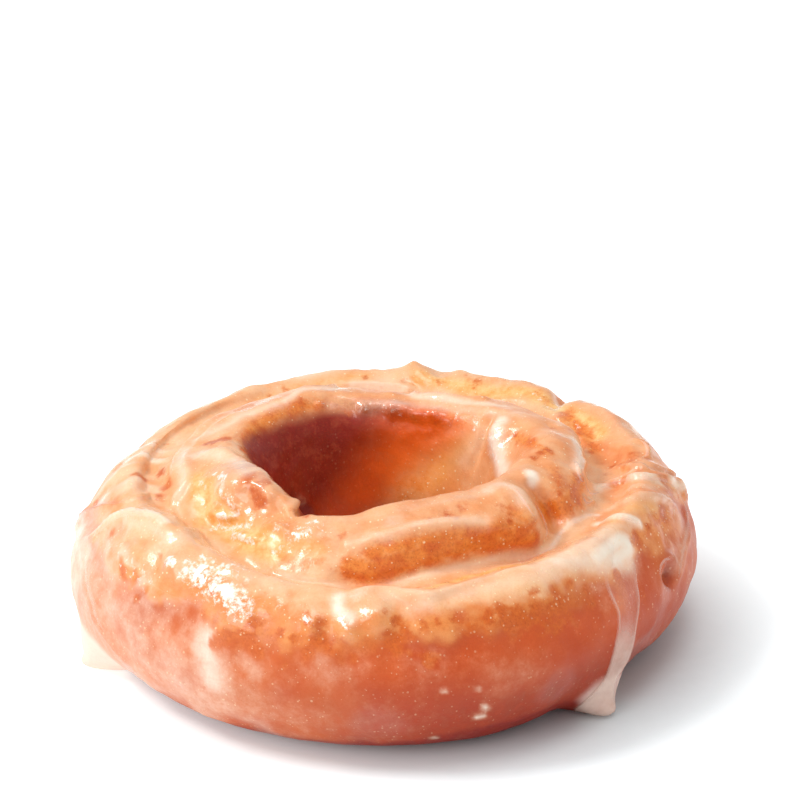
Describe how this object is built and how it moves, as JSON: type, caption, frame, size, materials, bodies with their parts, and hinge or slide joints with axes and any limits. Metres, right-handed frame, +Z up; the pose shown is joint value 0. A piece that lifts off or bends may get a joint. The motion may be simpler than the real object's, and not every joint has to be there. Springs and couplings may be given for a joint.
{
  "type": "ring doughnut",
  "caption": "Glazed old-fashioned ring doughnut: a browned outer ring with a raised, folded collar of dough round the hole.",
  "frame": {"origin": "centre of the flat base: the middle of the doughnut's box, on the surface it lies on", "axes": "+Z up through the hole, -Y towards the side with the collar's straight fold, +X to its right"},
  "size_m": [0.096, 0.096, 0.0316],
  "materials": {
    "glazed_crust": "golden to red-brown fried crust under a clear to milky sugar glaze"
  },
  "bodies": {
    "root": {"doughnut": "glazed_crust"}
  },
  "joints": []
}
